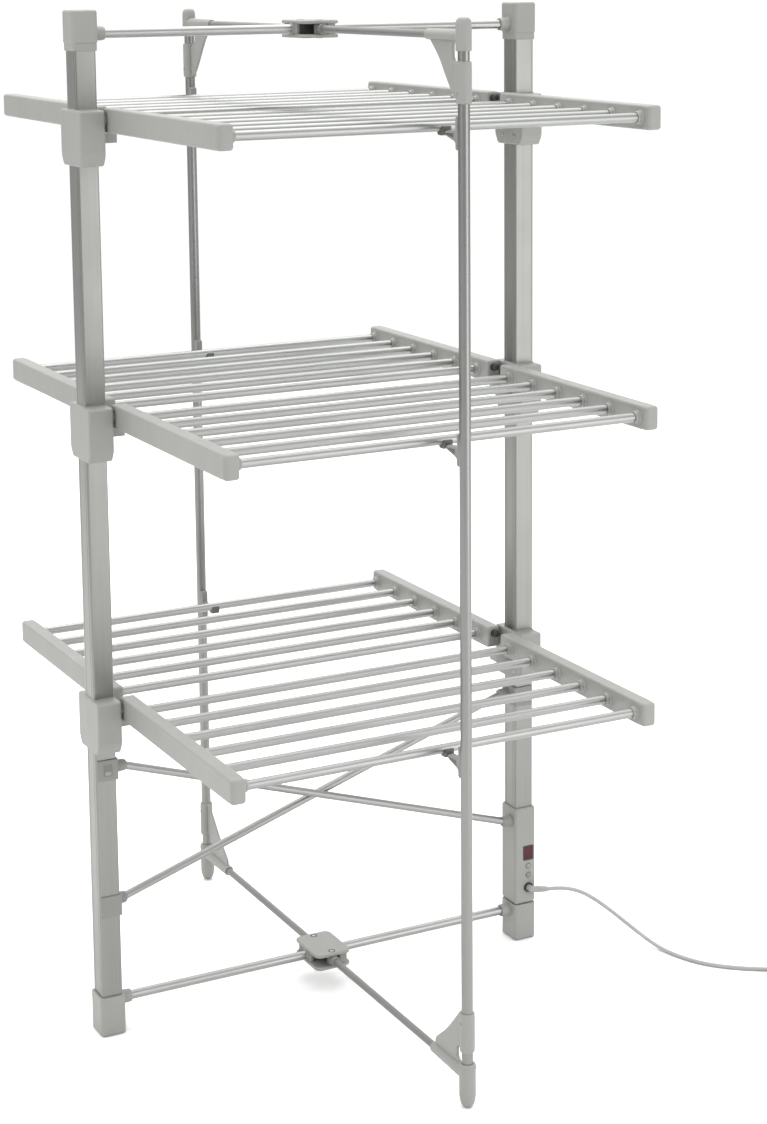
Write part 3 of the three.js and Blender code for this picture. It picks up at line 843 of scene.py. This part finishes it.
def make_rail(side_name, z, wired):
    """A rail with its end cap and a collar round each rod, and its wire's end if wired."""
    side = SIDES[side_name]
    near, far = side * RAIL_IN, side * (RAIL_IN + RAIL_W)
    half = RAIL_H / 2
    bar = [(-RAIL_START, -half), (-RAIL_START, half), (-388, half), (-388, -half)]
    span = sorted((near, far))
    low, high = span[0] - 0.1, span[1] + 0.1
    cap = [(low, -RAIL_END), (high, -RAIL_END), (high, -380), (low, -380)]
    parts = [
        (PLASTIC, slab(eased(bar, (6, 6, 3.5, 3.5), 5), "x", *span, 2.8, 4)),
        (PLASTIC, slab(eased(cap, (7, 7, 5, 5), 6), "z", -half - 0.1, half + 0.1, 4.2, 6)),
    ]
    collar = [(10.2, 0), (10.2, 0.9), (9.3, 1.8), (8.4, 2.4), (8.1, 6.6), (7.5, 7.5)]
    collar += [(6.6, 7.6), (6.3, 6.8)]
    for y in ROD_YS:
        at = (near + side * 0.3, -y, 0)
        parts.append((PLASTIC, turned(collar, at, (-side, 0, 0), 28)))
    hinge = [(6.6, 0), (6.6, 0.5), (5.4, 0.7), (0, 0.7)]
    at = (far - side * 0.3, -HINGE_Y, 0)
    parts.append((PLASTIC_DEEP, turned(hinge, at, (side, 0, 0))))
    if wired:
        parts += wire_grommet(near + side * RAIL_W / 2)
    return mapped(parts, at_height(z))


def wire_grommet(x):
    """The black rubber end of the heating wire, out of the rail's near end."""
    profile = [(5.6, 0), (5.6, 2), (4.4, 2.4), (4.4, 3.6), (5.2, 4), (5.2, 5.6), (4.2, 6)]
    profile += [(4.2, 7.2), (4.9, 7.6), (4.9, 9), (3.6, 10.5), (1.5, 11)]
    return [(BLACK, turned(profile, (x, -RAIL_START - 0.2, 6), (0, 1, 0.12), 24))]


def make_rods(z):
    """Six heated tubes, and the clip under the outermost that sits on the pole's catch."""
    parts = [(ROD_METAL, rod((-300, -y, 0), (300, -y, 0), ROD_R, 0.5, 28)) for y in ROD_YS]
    y = -ROD_YS[-1]
    # The clip is dark grey, painted as the shade under the rod.
    clip = [(y - 9.5, -7), (y - 6, -11), (y + 5, -11), (y + 7.6, -7)]
    clip += [(y + 7.6, 1), (y - 9.5, 1)]
    parts.append((PAINTED_SHADE, slab(eased(clip, (2, 3, 3, 2, 1.5, 1.5), 4), "x", -6, 6, 1.2)))
    return mapped(parts, at_height(z))


def make_wing(tier, z, end):
    """Two rails and their rods. The half turn of a rear wing swaps its left and right."""
    body, turn = f"{tier}_{end}_wing", TURNS[end]
    drawn_sides = SIDES if end == "front" else reversed(SIDES)
    for side_name, drawn_side in zip(SIDES, drawn_sides):
        wired = end == "rear" and side_name == "right"
        rail = mapped(make_rail(drawn_side, z, wired), turn)
        node = f"{tier}_{end}_{side_name}_rail"
        piece(f"{node}_shell", body, "grey_plastic", rail, [node])
    node = f"{tier}_{end}_rods"
    piece(f"{node}_tubes", body, "bright_tube", mapped(make_rods(z), turn), [node])


# ---- Gates ----


def side_points(points):
    """Outline points given inwards from the pole's axis, as (y, z)."""
    return [(y - POLE_Y, z) for y, z in points]


def upper_corner():
    """The pole's cap, the sleeve below it, the gusset between them and the arm's socket."""
    pole = (0, -POLE_Y, 0)
    cap = [(8.4, -19), (10, -18.2), (10, 12), (9.7, 16), (8.4, 19.6), (6, 21.4), (3, 22)]
    cap.append((0, 22))
    sleeve = [(8.2, -83), (9.6, -82), (10, -78), (10, -36), (9.7, -32), (8.2, -31)]
    gusset = [(84, 3), (84, -5), (60, -26), (40, -54), (22, -76), (6, -83), (6, -38)]
    gusset += [(20, -33), (25, -27), (25, -12), (20, -5), (6, -5), (6, 3)]
    radii = (2, 3, 12, 12, 8, 3, 1, 3, 3, 3, 3, 1, 1)
    web = eased(side_points(gusset), radii, 4)
    return [
        (PLASTIC, turned(cap, pole, (0, 0, 1), 28)),
        (PLASTIC, turned(sleeve, pole, (0, 0, 1), 28)),
        (PLASTIC, slab(web, "x", -GUSSET_HALF, GUSSET_HALF, GUSSET_EDGE)),
        (PLASTIC, rod((0, -340, 0), (0, -POLE_Y + 6, 0), 6.8, 1.2, 28, 7.8)),
        *corner_screws(-70),
    ]


def corner_screws(z):
    """The rivets through the sleeve, seen on both sides."""
    head = [(2.6, 0), (2.6, 0.3), (2.0, 0.9), (0, 1.1)]
    return [
        (PLASTIC_DEEP, turned(head, (s * 9.4, -POLE_Y, z), (s, 0, 0), 16)) for s in (-1, 1)
    ]


def lower_corner():
    """The pole's boot, the sleeve above it, the gusset between them and the arm's socket."""
    pole = (0, -POLE_Y, 0)
    boot = [(0, -45), (3, -45), (6, -43.6), (8.4, -40), (10, -35), (11, -28), (11, 12)]
    boot += [(10.6, 14.6), (9.2, 16), (8, 16)]
    ring = [(10.4, 8), (11.6, 9), (11.6, 12), (10.4, 13)]
    sleeve = [(8.2, 32), (9.6, 33), (10, 37), (10, 80), (9.6, 85), (8.2, 86)]
    gusset = [(84, -3), (6, -3), (6, 8), (19, 10), (25, 15), (25, 26), (20, 32), (6, 38)]
    gusset += [(6, 86), (14, 84), (30, 66), (52, 42), (84, 16)]
    radii = (3, 1, 1, 3, 3, 3, 3, 1, 3, 5, 12, 12, 6)
    web = eased(side_points(gusset), radii, 4)
    return [
        (PLASTIC, turned(boot, pole, (0, 0, 1), 28)),
        (PLASTIC, turned(ring, pole, (0, 0, 1), 28)),
        (PLASTIC, turned(sleeve, pole, (0, 0, 1), 28)),
        (PLASTIC, slab(web, "x", -GUSSET_HALF, GUSSET_HALF, GUSSET_EDGE)),
        (PLASTIC, rod((0, -341, 0), (0, -POLE_Y + 6, 0), 7.6, 1.4, 28, 9)),
        *corner_screws(72),
    ]


def arm():
    """A round arm with the eye that turns on the hub's pin."""
    eye = [(3.5, -6.5), (7.0, -6.5), (7.5, -6), (7.5, 6), (7.0, 6.5), (3.5, 6.5)]
    neck = [(7.2, 0), (7.2, 12)]
    return [
        (PLASTIC_DEEP, turned(eye, (0, -PIVOT_Y, 0), (0, 0, 1), 28)),
        (PAINT, rod((0, -PIVOT_Y - 4, 0), (0, -400, 0), 5, 0.5, 28)),
        (PLASTIC_DEEP, turned(neck, (0, -PIVOT_Y - 3, 0), (0, -1, 0))),
    ]


def catch():
    """The strip on the pole's inner face with the tongue under a wing's clip."""
    face = -(POLE_Y - POLE_R - 0.1)
    front = face + 6
    profile = [(face - 2, 15), (front, 15), (front, -2.5), (-390, -4.5), (-390, -10)]
    profile += [(front, -17), (front, -27), (face - 2, -27)]
    body = slab(eased(profile, (1, 4, 2, 2, 3, 4, 3, 1), 4), "x", -5, 5, 1.4)
    # The mouth is a dark sheet on the tongue's sides, painted as the shade of the opening.
    mouth = [(front + 4, -6), (-391.5, -7.2), (-391.5, -8.6), (front + 4, -12)]
    return [(PLASTIC_DEEP, body), (PAINTED_SHADE, slab(mouth, "x", -5.1, 5.1, 0.1))]


def make_gate(end):
    """A pole with its two arms, the corners that join them and a catch for each tier."""
    body, turn = f"{end}_gate", TURNS[end]

    def place(name, slot, parts, node, z=0):
        piece(name, body, slot, mapped(mapped(parts, at_height(z)), turn), [node])

    tube = rod((0, -POLE_Y, POLE_LOW), (0, -POLE_Y, POLE_HIGH), POLE_R, 0.5, 32)
    place(f"{end}_pole_tube", "anodised", [(POLE_METAL, tube)], f"{end}_pole")
    for level, z in (("upper", BAR_HIGH), ("lower", BAR_LOW)):
        node = f"{end}_{level}_arm"
        place(f"{node}_tube", "grey_paint", arm(), node, z)
    for level, corner, z in (
        ("upper", upper_corner(), BAR_HIGH),
        ("lower", lower_corner(), BAR_LOW),
    ):
        node = f"{end}_{level}_corner"
        place(f"{node}_shell", "grey_plastic", corner, node, z)
    for tier, z in TIERS.items():
        node = f"{tier}_{end}_catch"
        place(f"{node}_shell", "grey_plastic", catch(), node, z)


for end in ("front", "rear"):
    for tier, z in TIERS.items():
        make_wing(tier, z, end)
    make_gate(end)

# ---- Control box ----


def make_box():
    """The control box round the post, with its display and its two buttons."""
    at = (POST_X, 0)
    sleeve = rounded(BOX_W, BOX_D, 4.5, at, 6)
    core = rounded(BOX_W - 1.6, BOX_D - 1.6, 4, at, 6)
    parts = [
        (PLASTIC, slab(sleeve, "z", BOX_LOW + 1.5, BOX_HIGH - 1.5, 1.2, 4)),
        (PLASTIC, slab(core, "z", BOX_LOW, BOX_HIGH, 0.8)),
    ]
    bezel = rounded(18.4, 23.6, 2, (PANEL_X, DISPLAY_Z), 5)
    parts.append((BLACK, slab(bezel, "y", PANEL_Y - 0.4, PANEL_Y + 0.6, 0.3)))
    rim = [(5.2, 0), (5.2, 0.35), (4.7, 0.6), (4.0, 0.5), (3.95, 0.1), (0, 0.1)]
    for z in BUTTONS.values():
        at = (PANEL_X, PANEL_Y + 0.1, z)
        parts.append((PLASTIC_DEEP, turned(rim, at, (0, -1, 0), 28)))
    piece("control_box_shell", "stand", "grey_plastic", parts, ["control_box"])

    glass = rounded(14, 19, 1.2, (PANEL_X, DISPLAY_Z), 5)
    pane = slab(glass, "y", PANEL_Y - 0.6, PANEL_Y + 1, 0.2)
    piece("display_pane", "stand", "dark_red_window", [(DISPLAY, pane)], ["display_window"])
    cap = [(3.5, -1.6), (3.5, 0.7), (3.1, 1.15), (2.2, 1.3), (0.9, 1.15), (0, 1.1)]
    for (name, z), tone in zip(BUTTONS.items(), (PLASTIC, PLASTIC_DEEP)):
        shape = turned(cap, (PANEL_X, PANEL_Y, z), (0, -1, 0), 28)
        piece(f"{name}_cap_shell", f"{name}_cap", "grey_plastic", [(tone, shape)], [name])


make_box()

# ---- Floor, backdrop and light ----


FLOOR_R = 5


def make_floor():
    """A round pale floor, which in the camera's view ends against a background as bright."""
    mesh, made = bpy.data.meshes.new("floor"), bmesh.new()
    bmesh.ops.create_circle(made, cap_ends=True, radius=FLOOR_R, segments=96)
    made.to_mesh(mesh)
    made.free()
    floor = bpy.data.objects.new("floor", mesh)
    bpy.context.scene.collection.objects.link(floor)
    f = Finish("pale_floor")
    cloud = f.noise((0.6, 0.6, 0.6), 2)
    tone = f.ramp(cloud, [(0.3, (0.89, 0.89, 0.89)), (0.7, (0.91, 0.91, 0.91))])
    mesh.materials.append(f.set(color=tone, roughness=0.9, specular=0.1))


def area_light(name, place, target, size, power):
    """A rectangular lamp in one place that points at another."""
    data = bpy.data.lights.new(name, "AREA")
    data.shape, data.size, data.size_y, data.energy = "RECTANGLE", *size, power
    lamp = bpy.data.objects.new(name, data)
    lamp.location = place
    ahead = Vector(target) - Vector(place)
    lamp.rotation_euler = ahead.to_track_quat("-Z", "Y").to_euler()
    lamp.visible_camera = False
    bpy.context.scene.collection.objects.link(lamp)


def make_world():
    """White light from all round: a wall that is brightest behind the airer's right side,
    and a sky that is brightest overhead and towards the back."""
    world = bpy.data.worlds.new("studio")
    bpy.context.scene.world = world
    world.use_nodes = True
    tree = world.node_tree

    def node(kind, inputs, **settings):
        return add_node(tree, kind, inputs, **settings)

    ray = tree.nodes.new("ShaderNodeTexCoord").outputs["Generated"]
    rise = node("ShaderNodeSeparateXYZ", {0: ray})
    flat = node("ShaderNodeCombineXYZ", {"X": rise.outputs["X"], "Y": rise.outputs["Y"]})
    flat = node("ShaderNodeVectorMath", {0: flat.outputs[0]}, operation="NORMALIZE")

    def facing(vector, way, near, far, low, high):
        dot = node("ShaderNodeVectorMath", {0: vector, 1: way}, operation="DOT_PRODUCT")
        span = {"Value": dot.outputs["Value"], "From Min": near, "From Max": far}
        span |= {"To Min": low, "To Max": high}
        eased_span = node("ShaderNodeMapRange", span, interpolation_type="SMOOTHSTEP")
        return eased_span.outputs["Result"]

    wall = facing(flat.outputs[0], (0.8, 0.6, 0), 0, 0.8, 0.68, 1.04)
    sky = facing(ray, (0.1, 0.45, 0.887), -0.6, 1.0, 0.42, 1.7)
    span = {"Value": rise.outputs["Z"], "From Min": 0.02, "From Max": 0.3}
    level = node("ShaderNodeMapRange", span, interpolation_type="SMOOTHSTEP")
    inputs = {0: level.outputs["Result"], 2: wall, 3: sky}
    strength = node("ShaderNodeMix", inputs, data_type="FLOAT")
    tree.links.new(strength.outputs[0], tree.nodes["Background"].inputs["Strength"])
    tree.nodes["Background"].inputs["Color"].default_value = (1, 1, 1, 1)


make_floor()
make_world()
area_light("key", (-2.7, -0.9, 2.3), (-0.1, 0, 0.9), (1.8, 1.8), 26)
area_light("overhead", (0.2, 0.1, 5.5), (0.2, 0.1, 0), (5, 5), 110)
area_light("backdrop", (1.4, 2.9, 6.0), (1.4, 2.9, 0), (5, 5), 150)
area_light("front", (1.45, -2.9, 1.1), (0, 0, 0.85), (1.8, 2.1), 33)
bpy.context.scene.view_settings.view_transform = "Standard"
